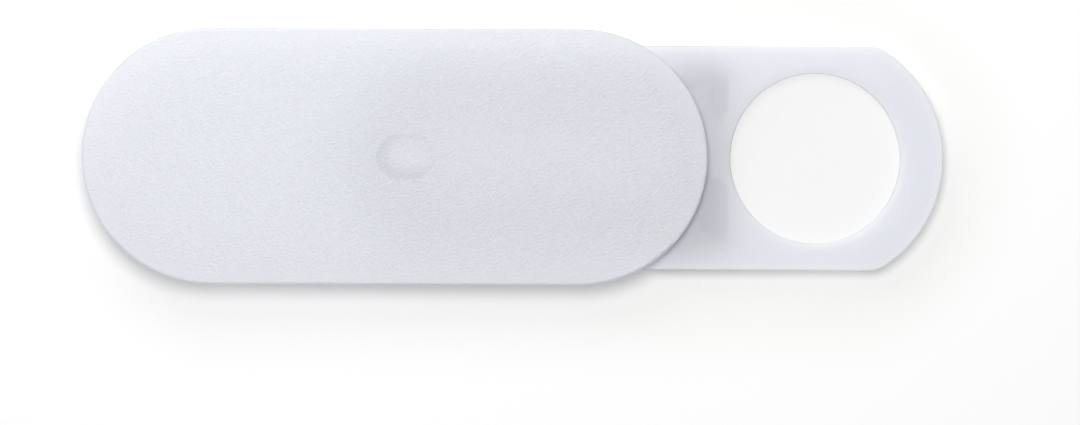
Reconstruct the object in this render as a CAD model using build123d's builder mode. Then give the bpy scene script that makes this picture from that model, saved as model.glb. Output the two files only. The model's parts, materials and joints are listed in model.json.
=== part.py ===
from build123d import *
from math import sqrt
import os

# A sliding webcam cover: a rounded shutter that runs along a small stick-on base.
# X runs along the slide, Y across it and Z away from the screen. The origin lies on the axis of the
# lens hole, at the underside of the base. The shutter stands open, drawn back from the hole along -X.
# All sizes are in millimetres.

# Plan of the base
lens_hole_diameter = 8.7
lens_rim = 1.38  # plastic left beside the hole, up to the base's straight edge
slot_web = 2.95  # plastic between the hole and the stud's slot
rear_web = 1.87  # plastic behind the slot
nose_corner_round = 1.6  # where the straight edges meet the nose

# Section of the base, from the underside up
skirt_lift = 0.03  # height of the shutter's lower edge above the base's underside
lip_thickness = 0.25
flange_thickness = 0.4
flange_reach = 0.43  # how far the flange stands out over the rail lips
base_edge_round = 0.08
lens_rim_round = 0.06

# Shutter
cover_wall = 0.72
cover_plate = 0.68
cover_edge_round = 0.15
skirt_edge_round = 0.08
channel_corner_round = 0.12  # inside, where the walls meet the face
open_margin = 1.16  # clear space between the hole and the shutter's end when open
wall_tip = 0.35  # thickness at which the side walls stop, where they run out into the round end
lip_lead_in = 0.25

# Stud under the shutter's face
stud_width = 2.3
stud_straight = 0.7  # between its two round ends
stud_height = 0.55
stud_land = 0.2  # upright part of the stud below the ramp
stud_ramp = 1.4  # length of the ramp that lets the base snap in under the stud
stud_edge_round = 0.1

# Clearances
side_clearance = 0.1
rear_clearance = 0.3
slide_gap = 0.06  # above the base and between flange and lip
slot_clearance = 0.1
lip_clearance = 0.1
nose_clearance = 0.3  # between the rail lips and the nose when closed

# Adhesive pad and its liner
pad_thickness = 0.15
pad_inset = 0.55  # from the edge of the base's underside
pad_setback = 0.1  # from the hole
pad_corner_round = 0.5
pad_window_margin = 0.4  # between the slot and the window cut in the pad
liner_thickness = 0.05

# Widths, measured from the centre line
lens_radius = lens_hole_diameter / 2
base_half = lens_radius + lens_rim
foot_half = base_half - flange_reach
channel_half = base_half + side_clearance
lip_half = foot_half + lip_clearance
cover_half = channel_half + cover_wall
slot_width = stud_width + 2 * slot_clearance
pad_half = foot_half - pad_inset

# Heights
lip_top = skirt_lift + lip_thickness
flange_bottom = lip_top + slide_gap
base_top = flange_bottom + flange_thickness
plate_bottom = base_top + slide_gap
cover_top = plate_bottom + cover_plate
stud_bottom = plate_bottom - stud_height
ramp_end = plate_bottom - stud_land

# Places along the slide
slide_travel = cover_half + lens_radius + open_margin
slot_straight = stud_straight + slide_travel
slot_front_x = -(lens_radius + slot_web)
slot_centre_x = slot_front_x - (slot_straight + slot_width) / 2
slot_rear_x = slot_front_x - slot_straight - slot_width
stud_x = slot_centre_x - slide_travel / 2
base_rear_x = slot_rear_x - rear_web
base_bend_x = base_rear_x + base_half
cover_front_bend_x = -slide_travel
cover_rear_x = base_rear_x - rear_clearance - cover_wall - slide_travel
cover_rear_bend_x = cover_rear_x + cover_half
cover_centre_x = (cover_front_bend_x + cover_rear_bend_x) / 2
cover_straight = cover_front_bend_x - cover_rear_bend_x
cover_front_x = cover_front_bend_x + cover_half
wall_run_out = sqrt(cover_half**2 - (channel_half + wall_tip) ** 2)
wall_front_x = cover_front_bend_x + wall_run_out
nose_x = wall_run_out + nose_clearance
pad_front_x = -(lens_radius + pad_setback)


def base_plan(half_width):
    """Plan of the base at one level: round rear, straight sides and a nose that matches the shutter."""
    corner_x = sqrt(cover_half**2 - half_width**2)
    with BuildSketch() as plan:
        with BuildLine():
            ThreePointArc(
                (base_bend_x, -half_width),
                (base_bend_x - half_width, 0),
                (base_bend_x, half_width),
            )
            Line((base_bend_x, half_width), (corner_x, half_width))
            ThreePointArc((corner_x, half_width), (cover_half, 0), (corner_x, -half_width))
            Line((corner_x, -half_width), (base_bend_x, -half_width))
        make_face()
    return plan.sketch


def channel_plan(half_width):
    """Plan of the shutter's channel: round at the closed end and open past the other end."""
    with BuildSketch() as plan:
        with Locations((cover_rear_bend_x, 0)):
            Circle(channel_half)
            Rectangle(
                cover_straight + 2 * cover_half,
                2 * half_width,
                align=(Align.MIN, Align.CENTER),
            )
    return plan.sketch


def pad_plan():
    """Plan of the die-cut pad: round rear, straight front beside the lens hole, window at the slot."""
    with BuildSketch() as plan:
        with BuildLine():
            ThreePointArc(
                (base_bend_x, -pad_half), (base_bend_x - pad_half, 0), (base_bend_x, pad_half)
            )
            Line((base_bend_x, pad_half), (pad_front_x, pad_half))
            Line((pad_front_x, pad_half), (pad_front_x, -pad_half))
            Line((pad_front_x, -pad_half), (base_bend_x, -pad_half))
        make_face()
        fillet(plan.vertices().group_by(Axis.X)[-1], pad_corner_round)
        with Locations((slot_centre_x, 0)):
            SlotCenterToCenter(slot_straight, slot_width + 2 * pad_window_margin, mode=Mode.SUBTRACT)
    return plan.sketch


# Base plate: a foot between the rails, a wider flange that the rail lips hook under, and a full nose
with BuildPart() as base_plate:
    with BuildSketch() as foot:
        add(base_plan(base_half))
        with Locations((nose_x, 0)):
            Rectangle(
                cover_half, 2 * cover_half, align=(Align.MIN, Align.CENTER), mode=Mode.INTERSECT
            )
        add(base_plan(foot_half))
    extrude(amount=flange_bottom)
    with BuildSketch(Plane.XY.offset(flange_bottom)) as flange:
        add(base_plan(base_half))
    extrude(amount=flange_thickness)
    nose_corners = base_plate.edges().filter_by(Axis.Z).group_by(Axis.X)[-1]
    fillet(nose_corners, nose_corner_round)
    top_outline = base_plate.faces().sort_by(Axis.Z)[-1].outer_wire().edges()
    fillet(top_outline, base_edge_round)
    with BuildSketch() as openings:
        Circle(lens_radius)
        with Locations((slot_centre_x, 0)):
            SlotCenterToCenter(slot_straight, slot_width)
    extrude(amount=base_top, mode=Mode.SUBTRACT)
    lens_edges = base_plate.edges().filter_by(GeomType.CIRCLE)
    lens_edges = lens_edges.filter_by(lambda edge: edge.arc_center.X == 0 and edge.is_closed)
    fillet(lens_edges.sort_by(Axis.Z)[-1], lens_rim_round)

# Stud: an obround post, upright at the rear to stop the slide, ramped towards the open end
with BuildPart() as stud:
    with BuildSketch(Plane.XY.offset(plate_bottom)) as stud_plan:
        with Locations((stud_x, 0)):
            SlotCenterToCenter(stud_straight, stud_width)
    extrude(amount=-stud_height)
    fillet(stud.faces().sort_by(Axis.Z)[0].outer_wire().edges(), stud_edge_round)
    with BuildSketch(Plane.XZ) as ramp:
        stud_front_x = stud_x + (stud_straight + stud_width) / 2
        with BuildLine():
            Polyline(
                (stud_front_x, ramp_end),
                (stud_front_x, stud_bottom),
                (stud_front_x - stud_ramp, stud_bottom),
                close=True,
            )
        make_face()
    extrude(amount=stud_width, both=True, mode=Mode.SUBTRACT)

# Cover: a shallow tray with a rail lip inside each side wall
with BuildPart() as cover:
    with BuildSketch(Plane.XY.offset(skirt_lift)) as shell:
        with Locations((cover_centre_x, 0)):
            SlotCenterToCenter(cover_straight, 2 * cover_half)
    extrude(amount=cover_top - skirt_lift)
    fillet(cover.faces().sort_by(Axis.Z)[-1].outer_wire().edges(), cover_edge_round)
    fillet(cover.faces().sort_by(Axis.Z)[0].outer_wire().edges(), skirt_edge_round)
    with BuildSketch(Plane.XY.offset(lip_top)) as channel:
        add(channel_plan(channel_half))
    extrude(amount=plate_bottom - lip_top, mode=Mode.SUBTRACT)
    channel_corners = cover.edges().filter_by_position(Axis.Z, plate_bottom, plate_bottom)
    channel_corners = channel_corners.filter_by_position(Axis.X, cover_rear_x, cover_front_bend_x)
    fillet(channel_corners, channel_corner_round)
    with BuildSketch(Plane.XY.offset(skirt_lift)) as mouth:
        add(channel_plan(lip_half))
        with Locations((wall_front_x, 0)):
            Rectangle(2 * cover_half, 2 * cover_half, align=(Align.MIN, Align.CENTER))
    extrude(amount=lip_thickness, mode=Mode.SUBTRACT)
    with BuildSketch(Plane.XY.offset(lip_top)) as wall_ends:
        with Locations((wall_front_x, 0)):
            Rectangle(2 * cover_half, 2 * cover_half, align=(Align.MIN, Align.CENTER))
    extrude(amount=plate_bottom - lip_top, mode=Mode.SUBTRACT)
    lip_ends = cover.edges().filter_by(Axis.Z).filter_by_position(Axis.Y, -lip_half, lip_half)
    chamfer(lip_ends.group_by(Axis.X)[-1], lip_lead_in)
    add(stud.part)

# Adhesive pad: double-sided foam tape under the base
with BuildPart() as adhesive_pad:
    with BuildSketch(Plane.XY.offset(-pad_thickness)) as pad_outline:
        add(pad_plan())
    extrude(amount=pad_thickness)

# Release liner: the paper that protects the pad until it is used
with BuildPart() as release_liner:
    with BuildSketch(Plane.XY.offset(-pad_thickness - liner_thickness)) as liner_outline:
        add(pad_plan())
    extrude(amount=liner_thickness)

base_plate.part.label = "base_plate"
cover.part.label = "cover"
adhesive_pad.part.label = "adhesive_pad"
release_liner.part.label = "release_liner"

os.makedirs("parts", exist_ok=True)
for piece in (base_plate, cover, adhesive_pad, release_liner):
    export_step(piece.part, f"parts/{piece.part.label}.step")

print(f"shutter {cover_front_x - cover_rear_x:.2f} x {2 * cover_half:.2f} mm")
print(f"base {cover_half - base_rear_x:.2f} x {2 * base_half:.2f} mm, travel {slide_travel:.2f} mm")
print(f"height {cover_top + pad_thickness + liner_thickness:.2f} mm with pad and liner")
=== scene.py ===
# %% [markdown]
# # A sliding webcam cover in milky white plastic
#
# Two small mouldings make this object: a pill-shaped shutter with a fine matt grain, and a smoother base
# plate with a round lens hole in its nose. A grey foam pad and its paper liner sit under the base.
# The solids arrive with their true shape, so this lesson is about light that goes *through* plastic: the
# grey pad and the long slot are seen only as soft tones in the white.

# %% Load the solids
import json
import math

import bmesh
import bpy
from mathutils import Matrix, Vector


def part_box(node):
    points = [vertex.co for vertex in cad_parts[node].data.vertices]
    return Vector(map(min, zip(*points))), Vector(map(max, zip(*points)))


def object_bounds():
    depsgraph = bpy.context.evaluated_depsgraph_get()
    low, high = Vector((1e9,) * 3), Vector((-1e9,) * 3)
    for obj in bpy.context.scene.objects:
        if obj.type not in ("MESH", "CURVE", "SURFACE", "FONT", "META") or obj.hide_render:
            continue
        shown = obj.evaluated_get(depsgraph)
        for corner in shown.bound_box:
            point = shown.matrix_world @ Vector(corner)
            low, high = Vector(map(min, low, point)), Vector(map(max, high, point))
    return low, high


MM = 0.001

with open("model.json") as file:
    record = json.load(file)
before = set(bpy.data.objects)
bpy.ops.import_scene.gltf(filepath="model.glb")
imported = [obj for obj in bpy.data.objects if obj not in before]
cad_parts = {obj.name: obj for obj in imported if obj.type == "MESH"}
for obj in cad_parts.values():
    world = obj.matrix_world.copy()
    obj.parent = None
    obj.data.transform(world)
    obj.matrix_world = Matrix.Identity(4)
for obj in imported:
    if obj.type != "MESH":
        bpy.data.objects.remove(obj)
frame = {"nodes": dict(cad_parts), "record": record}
solid_box = [list(corner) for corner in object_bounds()]
print("solids:", sorted(frame["nodes"]))
print("box in mm:", [[round(value / MM, 2) for value in corner] for corner in solid_box])

# %% [markdown]
# ## Helpers
#
# Colours are written as the hex values a designer would pick on a screen. Blender's shaders work in
# linear light, so one function converts them. Another adds a node, sets it up and links its inputs, so
# that each material below reads as a short list of what the surface is made of.


# %% Colour and node helpers
def linear(hex_colour):
    """sRGB hex to the linear RGBA that shaders expect."""
    channels = [int(hex_colour[i : i + 2], 16) / 255 for i in (1, 3, 5)]
    linear_rgb = [c / 12.92 if c <= 0.04045 else ((c + 0.055) / 1.055) ** 2.4 for c in channels]
    return (*linear_rgb, 1.0)


def add_node(material_or_world, kind, inputs=None, **settings):
    """Adds one node. A socket given as an input is linked, and anything else becomes its value."""
    tree = material_or_world.node_tree
    node = tree.nodes.new(kind)
    for name, value in settings.items():
        setattr(node, name, value)
    for name, value in (inputs or {}).items():
        if isinstance(value, bpy.types.NodeSocket):
            tree.links.new(value, node.inputs[name])
        else:
            node.inputs[name].default_value = value
    return node


def new_material(name):
    """An empty material, and the Object coordinates that its patterns are laid out in."""
    material = bpy.data.materials.new(name)
    material.use_nodes = True
    material.node_tree.nodes.clear()
    return material, add_node(material, "ShaderNodeTexCoord").outputs["Object"]


def dress(piece, material, shader):
    """Links the shader to the material's surface, and gives a piece that finish."""
    add_node(material, "ShaderNodeOutputMaterial", {"Surface": shader})
    piece.data.materials.clear()
    piece.data.materials.append(material)
    print(f"{piece.name}: {material.name}, {len(material.node_tree.nodes)} nodes")


print(f"a screen's middle grey is {linear('#808080')[0]:.2f} in linear light")

# %% [markdown]
# ## Tones
#
# Each finish below is a few near-whites laid over each other. A colour is laid on where a number, such as
# a noise or a distance, goes from one value to another. Map Range turns that number into a share with soft
# ends, and Mix blends the two colours by it. A Mix node has a set of sockets for each type of data, so the
# ones for colours are picked by their numbers.

# %% Tone helper
SOFT = {"interpolation_type": "SMOOTHSTEP"}
MIX_UNDER, MIX_OVER, MIX_RESULT = 6, 7, 2


def lay_over(material, tone, colour, value, start, end):
    """Lays a hex colour over a tone, a hex value or a socket, as the value goes from start to end."""
    span = {"Value": value, "From Min": start, "From Max": end}
    share = add_node(material, "ShaderNodeMapRange", span, **SOFT).outputs[0]
    under = linear(tone) if isinstance(tone, str) else tone
    layers = {"Factor": share, MIX_UNDER: under, MIX_OVER: linear(colour)}
    return add_node(material, "ShaderNodeMix", layers, data_type="RGBA").outputs[MIX_RESULT]


# %% [markdown]
# ## Milky plastic
#
# Both mouldings are polypropylene with a little white pigment. Part of the light that meets such a plate
# is thrown back, and the rest goes on through it, spread out in all directions. Glass or an alpha value
# would show what lies behind with sharp edges, and subsurface scattering alone would stop the light at
# the plate's lower face. An opaque skin mixed with a Translucent shader does what the plastic does: it
# blurs what lies behind by about the plate's own thickness. The slot and the pad are then truly seen, so
# they move as they should when the shutter slides. The relief goes to the skin alone, because light that
# comes from inside has no one direction left.
#
# Light that meets an upright wall has the whole length of the plate before it, so nearly all of it goes
# in. It comes out again through the face close by, and that is why the edges that look towards the light
# are paler. The normal tells the walls from the faces.

# %% Milky shader
PLASTIC_IOR = 1.49
WALL_THROUGH = 0.95
WALL_SLOPE, FACE_SLOPE = 0.2, 0.7


def look_up(material):
    """1 on a face that looks up, -1 on one that looks down, and 0 on an upright wall."""
    normal = add_node(material, "ShaderNodeTexCoord").outputs["Normal"]
    return add_node(material, "ShaderNodeSeparateXYZ", {"Vector": normal}).outputs["Z"]


def milky_shader(material, through, colour, roughness, normal):
    """An opaque plastic skin mixed with the light that goes through: some at a face, most at a wall."""
    slope = add_node(material, "ShaderNodeMath", {0: look_up(material)}, operation="ABSOLUTE").outputs[0]
    walls = {"From Min": WALL_SLOPE, "To Min": WALL_THROUGH}
    faces = {"From Max": FACE_SLOPE, "To Max": through}
    share = add_node(material, "ShaderNodeMapRange", {"Value": slope, **walls, **faces}).outputs[0]
    surface = {"Base Color": colour, "Roughness": roughness, "IOR": PLASTIC_IOR, "Normal": normal}
    skin = add_node(material, "ShaderNodeBsdfPrincipled", surface).outputs[0]
    glow = add_node(material, "ShaderNodeBsdfTranslucent", {"Color": colour}).outputs[0]
    return add_node(material, "ShaderNodeMixShader", {0: share, 1: skin, 2: glow}).outputs[0]


print(f"upright walls let {WALL_THROUGH:.0%} of the light in")

# %% [markdown]
# ## Distance from a bar's centre line
#
# The shutter and the stud beneath it are both bars with round ends. The distance from the centre line of
# such a bar is the same all along its outline, so one number tells how near a point is to the edge.
# Folding the plan about the centre, and cutting off the straight part, leaves a plain distance to a point.
# A bar without a straight part is a circle, so the lens hole can use the same helper.


# %% Bar distance helper
def bar_distance(material, place, middle, straight):
    """How far a point lies, in plan, from the centre line of a round-ended bar along X."""
    steps = (
        ("SUBTRACT", middle),
        ("ABSOLUTE", None),
        ("SUBTRACT", (straight / 2, 0, 0)),
        ("MAXIMUM", (0, 0, 0)),
        ("MULTIPLY", (1, 1, 0)),
    )
    for operation, other in steps:
        inputs = {0: place} if other is None else {0: place, 1: other}
        place = add_node(material, "ShaderNodeVectorMath", inputs, operation=operation).outputs["Vector"]
    return add_node(material, "ShaderNodeVectorMath", {0: place}, operation="LENGTH").outputs["Value"]


# %% [markdown]
# ## Where the stud and the slot are
#
# A stud hangs under the shutter's face and runs in a slot of the base. Each is the only form of its solid
# that lies near the centre line, away from the ends and the lens hole, so its place and size can be read
# from the mesh. If the solids change, the finishes follow.

# %% Stud and slot
MIDDLE_REACH = 1.8 * MM
END_MARGIN = 1.5 * MM


def middle_form(node_name, low_x, high_x):
    """Middle, half width and straight length of the form on the centre line between two ends."""
    corners = [vertex.co for vertex in frame["nodes"][node_name].data.vertices]
    inner = [c for c in corners if low_x + END_MARGIN < c.x < high_x - END_MARGIN]
    near = [c for c in inner if abs(c.y) < MIDDLE_REACH]
    first, last = min(c.x for c in near), max(c.x for c in near)
    half = max(c.y for c in near)
    middle = Vector(((first + last) / 2, 0, 0))
    size = f"{(last - first) / MM:.2f} by {2 * half / MM:.2f} mm"
    print(f"{node_name}: a form of {size}, its middle at x {middle.x / MM:.2f} mm")
    return middle, half, last - first - 2 * half


cover_low, cover_high = (Vector(corner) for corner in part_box("cover"))
base_low, base_high = (Vector(corner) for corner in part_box("base_plate"))
lens_radius = frame["record"]["mounts"][0]["dims"]["r_mm"] * MM
stud_middle, stud_half, stud_straight = middle_form("cover", cover_low.x, cover_high.x)
slot_middle, slot_half, slot_straight = middle_form("base_plate", base_low.x, -lens_radius)

# %% [markdown]
# ## The shutter: a spark-eroded grain
#
# The shutter's mould was spark eroded, which leaves fine pebbles about a tenth of a millimetre wide and
# kills the gloss. As the part came out of the mould they were drawn out a little, at a slant. A Mapping
# node of the Texture type turns the pattern and takes the pebble's length and width as its scale. A
# second, coarser noise stands for pigment that isn't quite evenly mixed.

# %% Pebbles and pigment
PEBBLE = Vector((0.17 * MM, 0.1 * MM, 0.1 * MM))
PEBBLE_SLANT = math.radians(34)
PIGMENT_CLOUD = 1.6 * MM

frosted, place = new_material("frosted_polypropylene")
slanted = add_node(
    frosted,
    "ShaderNodeMapping",
    {"Vector": place, "Rotation": (0, 0, PEBBLE_SLANT), "Scale": PEBBLE},
    vector_type="TEXTURE",
).outputs["Vector"]
grit = {"Vector": slanted, "Scale": 1.0, "Detail": 2.0, "Roughness": 0.55}
pebbles = add_node(frosted, "ShaderNodeTexNoise", grit).outputs["Fac"]
pigment = {"Vector": place, "Scale": 1 / PIGMENT_CLOUD, "Detail": 3.0}
clouds = add_node(frosted, "ShaderNodeTexNoise", pigment).outputs["Fac"]
print(f"pebbles {PEBBLE.x / MM:.2f} by {PEBBLE.y / MM:.2f} mm")

# %% [markdown]
# ## The grain's relief and tone
#
# The pebbles do three things. They are a relief, they carry painted shade, a trace darker in the hollows
# than at the peaks, and the peaks throw more of the light back while the hollows let more of it in. A bump
# is enough for a relief this fine. Only the outside was eroded, so it fades out on faces that look down.

# %% Grain
PEBBLE_DEPTH = 0.065 * MM
HOLLOW, PEAK = 0.3, 0.7  # values of the pebbles' noise
HOLLOW_THROUGH, PEAK_THROUGH = 0.45, 0.33
SHADED_HOLLOW_COLOUR, LIT_PEAK_COLOUR = "#F7F8FC", "#FBFCFF"
CLOUD_COLOUR = "#F9FAFE"
CLOUD_START, CLOUD_FULL = 0.5, 0.75  # values of the pigment's noise
INSIDE_SLOPE, OUTSIDE_SLOPE = -0.2, 0.2

sides = {"Value": look_up(frosted), "From Min": INSIDE_SLOPE, "From Max": OUTSIDE_SLOPE}
outside = add_node(frosted, "ShaderNodeMapRange", sides, **SOFT).outputs[0]
bumps = {"Strength": outside, "Distance": PEBBLE_DEPTH, "Height": pebbles}
relief = add_node(frosted, "ShaderNodeBump", bumps).outputs["Normal"]
# Painted shade: the pebbles' hollows are a trace darker than their peaks.
tone = lay_over(frosted, SHADED_HOLLOW_COLOUR, LIT_PEAK_COLOUR, pebbles, HOLLOW, PEAK)
tone = lay_over(frosted, tone, CLOUD_COLOUR, clouds, CLOUD_START, CLOUD_FULL)
swing = {"From Min": HOLLOW, "From Max": PEAK, "To Min": HOLLOW_THROUGH, "To Max": PEAK_THROUGH}
through = add_node(frosted, "ShaderNodeMapRange", {"Value": pebbles, **swing}).outputs[0]
print(f"relief {PEBBLE_DEPTH / MM:.3f} mm, {PEAK_THROUGH:.0%} to {HOLLOW_THROUGH:.0%} goes through")

# %% [markdown]
# ## The shutter's rim, with a painted glow
#
# Over the side walls the plastic is deeper and throws more of the light back, so the rim is painted a
# trace whiter: a painted glow. The distance from the shutter's centre line tells how near the edge a point
# is, all the way round.

# %% Painted rim glow
RIM_GLOW_COLOUR = "#FAFBFF"
RIM_START, RIM_FULL = 1.2 * MM, 0.4 * MM  # measured inwards from the edge

cover_middle = (cover_low + cover_high) / 2
cover_half = (cover_high.y - cover_low.y) / 2
cover_straight = cover_high.x - cover_low.x - 2 * cover_half
edge = bar_distance(frosted, place, cover_middle, cover_straight)
# Painted glow: the rim is a trace whiter than the face.
tone = lay_over(frosted, tone, RIM_GLOW_COLOUR, edge, cover_half - RIM_START, cover_half - RIM_FULL)
print(f"shutter {2 * cover_half / MM:.2f} mm wide, straight for {cover_straight / MM:.2f} mm")

# %% [markdown]
# ## The sink mark over the stud, in painted shade and highlight
#
# Over the stud, an oval sink mark shows where the thick plastic shrank as it cooled. The dish is drawn in
# tones, not in the geometry: painted shade darkens its floor on one side, and a painted highlight, a thin
# light line, follows the stud's outline. Less light gets through the middle of the stud, where the plastic
# is thickest. All of it is worked out from the stud's own centre line, so the mark sits right over the stud
# and moves with the shutter.

# %% Sink mark: painted shade and highlight
SINK_SHADE_COLOUR = "#F1F2F7"
SINK_LEAN = Vector((0.4 * MM, 0.2 * MM, 0))  # from the stud's middle to the palest place of the floor
SINK_PALE, SINK_DARK = 0.3, 1.2  # distances from that place, in half widths of the stud
LINE_HIGHLIGHT_COLOUR = "#FAFBFF"
LINE_WIDTH = 0.12 * MM

dish = bar_distance(frosted, place, stud_middle + SINK_LEAN, stud_straight)
outline = bar_distance(frosted, place, stud_middle, stud_straight)
depth = {"Value": dish, "From Min": SINK_PALE * stud_half, "From Max": SINK_DARK * stud_half}
dish_shade = add_node(frosted, "ShaderNodeMapRange", depth, **SOFT).outputs[0]
floor = {"Value": outline, "From Min": stud_half + LINE_WIDTH / 2, "From Max": stud_half - LINE_WIDTH / 2}
inside = add_node(frosted, "ShaderNodeMapRange", floor, **SOFT).outputs[0]
shaded = add_node(frosted, "ShaderNodeMath", {0: dish_shade, 1: inside}, operation="MULTIPLY").outputs[0]
# Painted shade on one side of the dish's floor.
tone = lay_over(frosted, tone, SINK_SHADE_COLOUR, shaded, 0, 1)

# Painted highlight: a thin light line just outside the stud's outline.
line = {0: outline, 1: stud_half + LINE_WIDTH}
apart = add_node(frosted, "ShaderNodeMath", line, operation="SUBTRACT").outputs[0]
apart = add_node(frosted, "ShaderNodeMath", {0: apart}, operation="ABSOLUTE").outputs[0]
tone = lay_over(frosted, tone, LINE_HIGHLIGHT_COLOUR, apart, LINE_WIDTH, 0)
print(f"sink mark over a stud {2 * stud_half / MM:.2f} mm wide")

# %% Thick stud, and the finished shutter
SHUTTER_ROUGHNESS = 0.55
STUD_THROUGH = 0.3
STUD_CORE = 0.2  # in half widths of the stud

middle = {"Value": outline, "From Min": stud_half, "From Max": STUD_CORE * stud_half}
thick = add_node(frosted, "ShaderNodeMapRange", middle, **SOFT).outputs[0]
dimmed = {"Factor": thick, "A": through, "B": STUD_THROUGH}
through = add_node(frosted, "ShaderNodeMix", dimmed).outputs[0]
shutter_plastic = milky_shader(frosted, through, tone, SHUTTER_ROUGHNESS, relief)
dress(frame["nodes"]["cover"], frosted, shutter_plastic)

# %% [markdown]
# ## The base plate: the same plastic from a polished mould
#
# The base is the same milky plastic, but its mould was polished, so it is smoother. What is left is a
# faint ripple where the melt flowed and cooled against the steel. One noise gives the ripple's relief, its
# tone and a slight change of gloss.

# %% Smooth base
RIPPLE = 0.25 * MM
RIPPLE_DEPTH = 0.01 * MM
TROUGH, CREST = 0.3, 0.7  # values of the ripple's noise
BASE_COLOUR = "#F8F9FE"
FLOW_COLOUR = "#F7F8FD"
GLOSSIER, DULLER = 0.42, 0.52

smooth, place = new_material("smooth_polypropylene")
waves = {"Vector": place, "Scale": 1 / RIPPLE, "Detail": 2.0}
ripple = add_node(smooth, "ShaderNodeTexNoise", waves).outputs["Fac"]
bumps = {"Distance": RIPPLE_DEPTH, "Height": ripple}
relief = add_node(smooth, "ShaderNodeBump", bumps).outputs["Normal"]
tone = lay_over(smooth, BASE_COLOUR, FLOW_COLOUR, ripple, TROUGH, CREST)
polish = {"From Min": TROUGH, "From Max": CREST, "To Min": GLOSSIER, "To Max": DULLER}
roughness = add_node(smooth, "ShaderNodeMapRange", {"Value": ripple, **polish}).outputs[0]
print(f"ripple {RIPPLE / MM:.2f} mm")

# %% [markdown]
# ## Glue under the base, and painted shade of the pad
#
# Where the pad's glue has wetted the underside, the plastic looks a trace darker, with a clear straight
# edge beside the lens hole. The same tone is also painted shade: it stands for part of the pad's shade seen
# through the plate, with a sharper edge than the plastic's blur gives. Where a film of air is left it stays
# pale, so the field is blotchy. The pad and the base never part, so this tone can sit in the base's own
# material. The shift and the turn choose which stretch of the noise lies over the pad.

# %% Glue patches
GLUE_PATCH = Vector((2.6, 2.6, 2.6)) * MM
GLUE_SHIFT = Vector((5.0, 25.2, 0)) * MM
GLUE_TURN = math.radians(34)
BARE, WETTED = 0.6, 0.4  # values of the patches' noise

spread = add_node(
    smooth,
    "ShaderNodeMapping",
    {"Vector": place, "Location": GLUE_SHIFT, "Rotation": (0, 0, GLUE_TURN), "Scale": GLUE_PATCH},
    vector_type="TEXTURE",
).outputs["Vector"]
blots = {"Vector": spread, "Scale": 1.0, "Detail": 2.0}
patches = add_node(smooth, "ShaderNodeTexNoise", blots).outputs["Fac"]
wetting = {"Value": patches, "From Min": BARE, "From Max": WETTED}
glue = add_node(smooth, "ShaderNodeMapRange", wetting, **SOFT).outputs[0]
print(f"glue patches {GLUE_PATCH.x / MM:.1f} mm wide")

# %% [markdown]
# ## The borders of the glue
#
# The field is the pad's box, read from the solid, less a strip along the slot, where the pad has a window.
# Each border is a distance along which the share of glue and painted shade goes from none to all, and the
# shares multiply.

# %% Glue field
GLUE_AND_SHADE_COLOUR = "#EFF1F8"
GLUE_EDGE = 0.15 * MM
GLUE_FADE = 1.2 * MM
GLUE_WINDOW = 0.8 * MM

pad_low, pad_high = (Vector(corner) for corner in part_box("adhesive_pad"))
along = add_node(smooth, "ShaderNodeSeparateXYZ", {"Vector": place}).outputs["X"]
across = bar_distance(smooth, place, (pad_low + pad_high) / 2, pad_high.x - pad_low.x)
aside = bar_distance(smooth, place, slot_middle, slot_straight)
borders = (
    (along, pad_high.x + GLUE_EDGE, pad_high.x - GLUE_EDGE),
    (across, pad_high.y + GLUE_EDGE, pad_high.y - GLUE_FADE),
    (aside, slot_half, slot_half + GLUE_WINDOW),
)
for distance, bare, glued in borders:
    border = {"Value": distance, "From Min": bare, "From Max": glued}
    within = add_node(smooth, "ShaderNodeMapRange", border, **SOFT).outputs[0]
    glue = add_node(smooth, "ShaderNodeMath", {0: glue, 1: within}, operation="MULTIPLY").outputs[0]
# Glue and painted shade: the plate is a trace darker over the pad.
tone = lay_over(smooth, tone, GLUE_AND_SHADE_COLOUR, glue, 0, 1)
print(f"glue field ends at x {pad_high.x / MM:.2f} mm")

# %% [markdown]
# ## Lens rim
#
# The solid has a fine round at the edge of the lens hole. The face beside it dips a little too, as plastic
# does where it shrinks round a core pin. The dip is a twentieth of a millimetre deep, so a bump can carry
# it: the square of a share that grows towards the hole makes it steepest at the edge. The rim is painted a
# trace whiter as well, a painted glow for the light that enters at the hole's wall and comes out close by.

# %% Dipped lens rim
EDGE_GLOW_COLOUR = "#FCFDFF"
LENS_RIM_WIDTH = 0.4 * MM
LENS_RIM_DIP = 0.05 * MM
LENS_RIM_CURVE = 2.0

lens_distance = bar_distance(smooth, place, (0, 0, 0), 0)
rim_range = {"Value": lens_distance, "From Min": lens_radius + LENS_RIM_WIDTH, "From Max": lens_radius}
rim = add_node(smooth, "ShaderNodeMapRange", rim_range).outputs[0]
dip = add_node(smooth, "ShaderNodeMath", {0: rim, 1: LENS_RIM_CURVE}, operation="POWER").outputs[0]
dipped = {"Distance": LENS_RIM_DIP, "Height": dip, "Normal": relief}
relief = add_node(smooth, "ShaderNodeBump", dipped, invert=True).outputs["Normal"]
# Painted glow: the plate is a trace whiter beside the hole.
tone = lay_over(smooth, tone, EDGE_GLOW_COLOUR, rim, 0, 1)
print(f"lens rim {LENS_RIM_WIDTH / MM:.2f} mm wide")

# %% [markdown]
# ## Painted glow along the outline
#
# Light enters at the base's edge too and comes out close by, so the plastic is painted a trace whiter along
# its outline: a painted glow. The outline is made of two distances: one from a line that ends at the hole's
# axis, which gives the round nose, and one from a centre line longer than the base, which gives the
# straight sides.

# %% Base outline, and the finished base
BASE_THROUGH = 0.38
OUTLINE_WIDTH = 0.6 * MM

nose = bar_distance(smooth, place, (base_low.x / 2, 0, 0), -base_low.x)
flanks = bar_distance(smooth, place, (0, 0, 0), 2 * (base_high.x - base_low.x))
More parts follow.
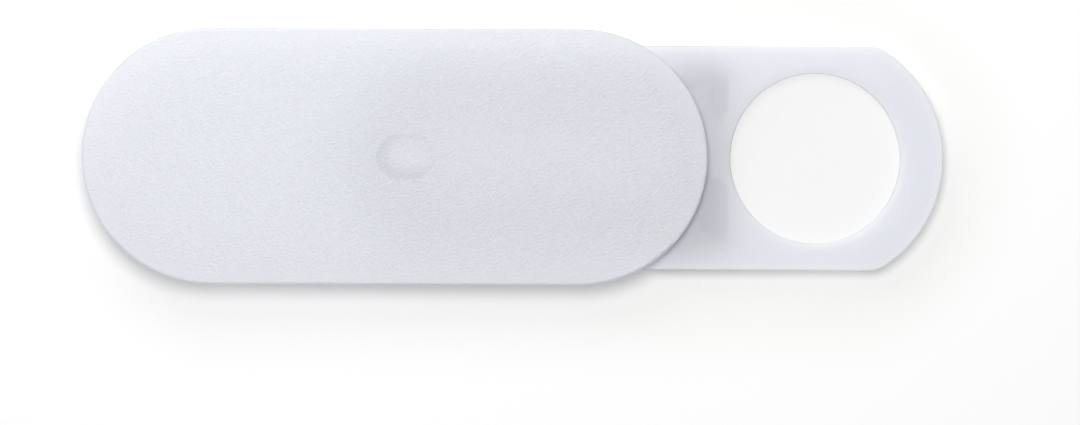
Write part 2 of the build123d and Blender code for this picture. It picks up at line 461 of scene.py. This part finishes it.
# Painted glow: the plate is a trace whiter along its outline.
for distance, limit in ((nose, base_high.x), (flanks, base_high.y)):
    tone = lay_over(smooth, tone, EDGE_GLOW_COLOUR, distance, limit - OUTLINE_WIDTH, limit)
base_plastic = milky_shader(smooth, BASE_THROUGH, tone, roughness, relief)
dress(frame["nodes"]["base_plate"], smooth, base_plastic)

# %% [markdown]
# ## The pad: grey foam tape
#
# The pad is closed-cell foam with glue on both sides. Its cells are about a fifth of a millimetre wide and
# show on the cut edge. A Voronoi texture gives such cells: its distance is smallest in the middle of each.
# The foam itself isn't quite even either: soft clouds in it are a little paler.

# %% Foam tape
FOAM_CELL = 0.18 * MM
FOAM_RELIEF = 0.05 * MM
FOAM_CLOUD = 2.5 * MM
CELL_MIDDLE, CELL_WALL = 0.2, 0.7  # values of the cells' distance
PALE_START, PALE_FULL = 0.4, 0.7  # values of the clouds' noise
CELL_COLOUR = "#A5A9B3"
FOAM_COLOUR = "#B2B6C0"
PALE_FOAM_COLOUR = "#BEC2CC"
FOAM_ROUGHNESS = 0.8

foam, place = new_material("grey_foam_tape")
froth = {"Vector": place, "Scale": 1 / FOAM_CELL}
cells = add_node(foam, "ShaderNodeTexVoronoi", froth).outputs["Distance"]
relief = add_node(foam, "ShaderNodeBump", {"Distance": FOAM_RELIEF, "Height": cells}).outputs["Normal"]
uneven = {"Vector": place, "Scale": 1 / FOAM_CLOUD, "Detail": 2.0}
clouds = add_node(foam, "ShaderNodeTexNoise", uneven).outputs["Fac"]
tone = lay_over(foam, CELL_COLOUR, FOAM_COLOUR, cells, CELL_MIDDLE, CELL_WALL)
tone = lay_over(foam, tone, PALE_FOAM_COLOUR, clouds, PALE_START, PALE_FULL)
surface = {"Base Color": tone, "Roughness": FOAM_ROUGHNESS, "Normal": relief}
tape = add_node(foam, "ShaderNodeBsdfPrincipled", surface).outputs[0]
dress(frame["nodes"]["adhesive_pad"], foam, tape)

# %% [markdown]
# ## The liner: silicone paper
#
# The liner is thin white paper with a silicone coat. Its fibres lie mostly along the web that it was made
# on, so the noise is stretched along X, and the coat gives it a soft satin sheen.

# %% Liner paper
FIBRE = Vector((0.6 * MM, 0.06 * MM, 0.06 * MM))
FIBRE_RELIEF = 0.01 * MM
FIBRE_START, FIBRE_FULL = 0.35, 0.65  # values of the fibres' noise
LINER_COLOUR = "#F0F0ED"
FIBRE_COLOUR = "#E4E4DF"
LINER_ROUGHNESS = 0.5

paper, place = new_material("silicone_liner_paper")
stretch = {"Vector": place, "Scale": FIBRE}
web = add_node(paper, "ShaderNodeMapping", stretch, vector_type="TEXTURE").outputs["Vector"]
fluff = {"Vector": web, "Scale": 1.0, "Detail": 3.0}
fibres = add_node(paper, "ShaderNodeTexNoise", fluff).outputs["Fac"]
relief = add_node(paper, "ShaderNodeBump", {"Distance": FIBRE_RELIEF, "Height": fibres}).outputs["Normal"]
tone = lay_over(paper, LINER_COLOUR, FIBRE_COLOUR, fibres, FIBRE_START, FIBRE_FULL)
surface = {"Base Color": tone, "Roughness": LINER_ROUGHNESS, "Normal": relief}
sheet = add_node(paper, "ShaderNodeBsdfPrincipled", surface).outputs[0]
dress(frame["nodes"]["release_liner"], paper, sheet)

# %% [markdown]
# ## Table
#
# The object lies on a white table. A grid with a single cell makes the board, a hair below the lowest point
# of the solids, so that no two faces lie in one plane. It is staging and no piece of the object.

# %% Table board
TABLE_SIZE = 1200 * MM
TABLE_DROP = 0.002 * MM

table_mesh = bmesh.new()
bmesh.ops.create_grid(table_mesh, x_segments=1, y_segments=1, size=TABLE_SIZE / 2)
bmesh.ops.translate(table_mesh, verts=table_mesh.verts, vec=(0, 0, solid_box[0][2] - TABLE_DROP))
table = bpy.data.objects.new("table", bpy.data.meshes.new("table"))
table_mesh.to_mesh(table.data)
table_mesh.free()
bpy.context.scene.collection.objects.link(table)
print(f"table {TABLE_SIZE / MM:.0f} mm wide")

# %% [markdown]
# ## White that keeps the shadow
#
# What the camera sees of the table is part a shade, which keeps the shadow, and part a glow that lifts the
# open table to white. So the depth of the shadow can be set without more light on the object. Close to the
# object the glow is weaker: painted shade round the place where the object rests, as where the table would
# get less of the room's light, and it stays there when the shutter slides. It is a trace warm there too, a
# painted tint against the blue of the light that comes through the plastic. Inside the lens hole the shade
# is darker and the glow stronger: painted light, which softens the shadow there.

# %% Shade and glow of the table
SHADE_COLOUR = "#E9E9E9"
HOLE_SHADE_COLOUR = "#909090"
NEAR_GLOW_COLOUR = "#7A7975"
FAR_GLOW_COLOUR = "#8B8B8B"
HOLE_GLOW_COLOUR = "#D5D5D5"
GLOW_WIDTH = 5.5 * MM
HOLE_BLEND = 0.3 * MM

object_low, object_high = (Vector(corner) for corner in solid_box)
object_middle = (object_low + object_high) / 2
object_straight = object_high.x - object_low.x - 2 * cover_half

white, place = new_material("white_table")
away = bar_distance(white, place, object_middle, object_straight)
lens_distance = bar_distance(white, place, (0, 0, 0), 0)
hole_edge = (lens_radius + HOLE_BLEND, lens_radius)
shade_tone = lay_over(white, SHADE_COLOUR, HOLE_SHADE_COLOUR, lens_distance, *hole_edge)
# Painted shade: the glow is weaker, and a trace warm, close to the object.
glow_tone = lay_over(white, NEAR_GLOW_COLOUR, FAR_GLOW_COLOUR, away, cover_half, cover_half + GLOW_WIDTH)
# Painted light: the glow is stronger inside the lens hole.
glow_tone = lay_over(white, glow_tone, HOLE_GLOW_COLOUR, lens_distance, *hole_edge)
print(f"glow grows over {GLOW_WIDTH / MM:.1f} mm round the object")

# %% [markdown]
# ## Who sees the glow
#
# The Light Path node tells what kind of ray meets the table. Glossy reflections, and rays that go through
# the plastic, see the table as the camera does. Diffuse reflections don't see the glow: they meet a plain
# white board.

# %% White table
TABLE_COLOUR = "#FBFBFB"

ray = add_node(white, "ShaderNodeLightPath").outputs
seen = ray["Is Camera Ray"]
for kind in ("Is Glossy Ray", "Is Transmission Ray"):
    seen = add_node(white, "ShaderNodeMath", {0: seen, 1: ray[kind]}, operation="MAXIMUM").outputs[0]
board = add_node(white, "ShaderNodeBsdfDiffuse", {"Color": linear(TABLE_COLOUR)}).outputs[0]
shade = add_node(white, "ShaderNodeBsdfDiffuse", {"Color": shade_tone}).outputs[0]
glow = add_node(white, "ShaderNodeEmission", {"Color": glow_tone}).outputs[0]
lifted = add_node(white, "ShaderNodeAddShader", {0: shade, 1: glow}).outputs[0]
top = add_node(white, "ShaderNodeMixShader", {0: seen, 1: board, 2: lifted}).outputs[0]
dress(table, white, top)

# %% [markdown]
# ## Light
#
# A steep softbox does most of the work. A weak low light from the same side gives the edges their bright
# line and deepens the thin shadow under the shutter, and a pale surround fills the rest. Each lamp is set
# by the share of white that it gives on the table, and so is the surround. The shares add up to about one,
# the level at which a white surface renders white.

# %% Lamps
KEY_SHARE = 0.54
KEY_ELEVATION = 75
KEY_AZIMUTH = 98
KEY_SIZE = 85 * MM
LOW_SHARE = 0.12
LOW_ELEVATION = 25
LOW_AZIMUTH = 119
LOW_SIZE = 100 * MM
LAMP_DISTANCE = 140 * MM


def place_lamp(name, share, elevation, azimuth, size):
    """A round softbox that gives this share of white on the table, from a direction in degrees."""
    up, around = math.radians(elevation), math.radians(azimuth)
    towards = Vector((math.cos(up) * math.cos(around), math.cos(up) * math.sin(around), math.sin(up)))
    light = bpy.data.lights.new(name, "AREA")
    light.shape = "DISK"
    light.size = size
    # A small lamp of P watts at a distance d gives P * sin(up) / (pi * d) ** 2 of white
    light.energy = share * (math.pi * LAMP_DISTANCE) ** 2 / math.sin(up)
    lamp = bpy.data.objects.new(name, light)
    lamp.location = object_middle + towards * LAMP_DISTANCE
    lamp.rotation_euler = towards.to_track_quat("Z", "Y").to_euler()
    lamp.visible_camera = False
    bpy.context.scene.collection.objects.link(lamp)
    print(f"{name}: {light.energy:.2f} W")


place_lamp("softbox", KEY_SHARE, KEY_ELEVATION, KEY_AZIMUTH, KEY_SIZE)
place_lamp("low_light", LOW_SHARE, LOW_ELEVATION, LOW_AZIMUTH, LOW_SIZE)

# %% [markdown]
# ## Surround and bounces
#
# The surround is a white world, dimmed to its share of the light. The camera itself sees it at full white.
# Light bounces many times inside milky plastic, and Blender's default of four diffuse bounces would leave
# it grey, so the limits are raised.

# %% Surround
SURROUND_COLOUR = "#FFFFFF"
SURROUND_SHARE = 0.368
CAMERA_SHARE = 1.0
MILK_BOUNCES = 24

surround = bpy.data.worlds.new("pale_surround")
surround.use_nodes = True
surround.node_tree.nodes.clear()
ray = add_node(surround, "ShaderNodeLightPath").outputs
dimming = {"Value": ray["Is Camera Ray"], "To Min": SURROUND_SHARE, "To Max": CAMERA_SHARE}
strength = add_node(surround, "ShaderNodeMapRange", dimming).outputs[0]
backdrop = {"Color": linear(SURROUND_COLOUR), "Strength": strength}
sky = add_node(surround, "ShaderNodeBackground", backdrop).outputs[0]
add_node(surround, "ShaderNodeOutputWorld", {"Surface": sky})
bpy.context.scene.world = surround

cycles = bpy.context.scene.cycles
cycles.max_bounces = MILK_BOUNCES
cycles.diffuse_bounces = MILK_BOUNCES
cycles.transmission_bounces = MILK_BOUNCES
print(f"shares add up to {KEY_SHARE + LOW_SHARE + SURROUND_SHARE:.2f}, {MILK_BOUNCES} bounces")

# %% [markdown]
# ## Camera
#
# The picture looks straight down: the lens hole shows as a true circle. A long lens from well above
# keeps the walls of the hole out of sight, and the picture's width in millimetres sets the lens.

# %% Camera straight above
PICTURE_WIDTH = 55.2 * MM
PICTURE_CENTRE = (-14.07 * MM, -2.82 * MM)
PICTURE_ROLL = math.radians(0.25)
CAMERA_HEIGHT = 600 * MM
SENSOR_WIDTH = 36.0  # in millimetres, as Blender gives the lens too

camera_data = bpy.data.cameras.new("overhead")
camera_data.sensor_width = SENSOR_WIDTH
camera_data.lens = SENSOR_WIDTH * CAMERA_HEIGHT / PICTURE_WIDTH
camera = bpy.data.objects.new("overhead", camera_data)
camera.location = (*PICTURE_CENTRE, solid_box[1][2] + CAMERA_HEIGHT)
camera.rotation_euler = (0, 0, PICTURE_ROLL)
bpy.context.scene.collection.objects.link(camera)
bpy.context.scene.camera = camera
bpy.context.scene.view_settings.view_transform = "Standard"
print(f"lens {camera_data.lens:.0f} mm")
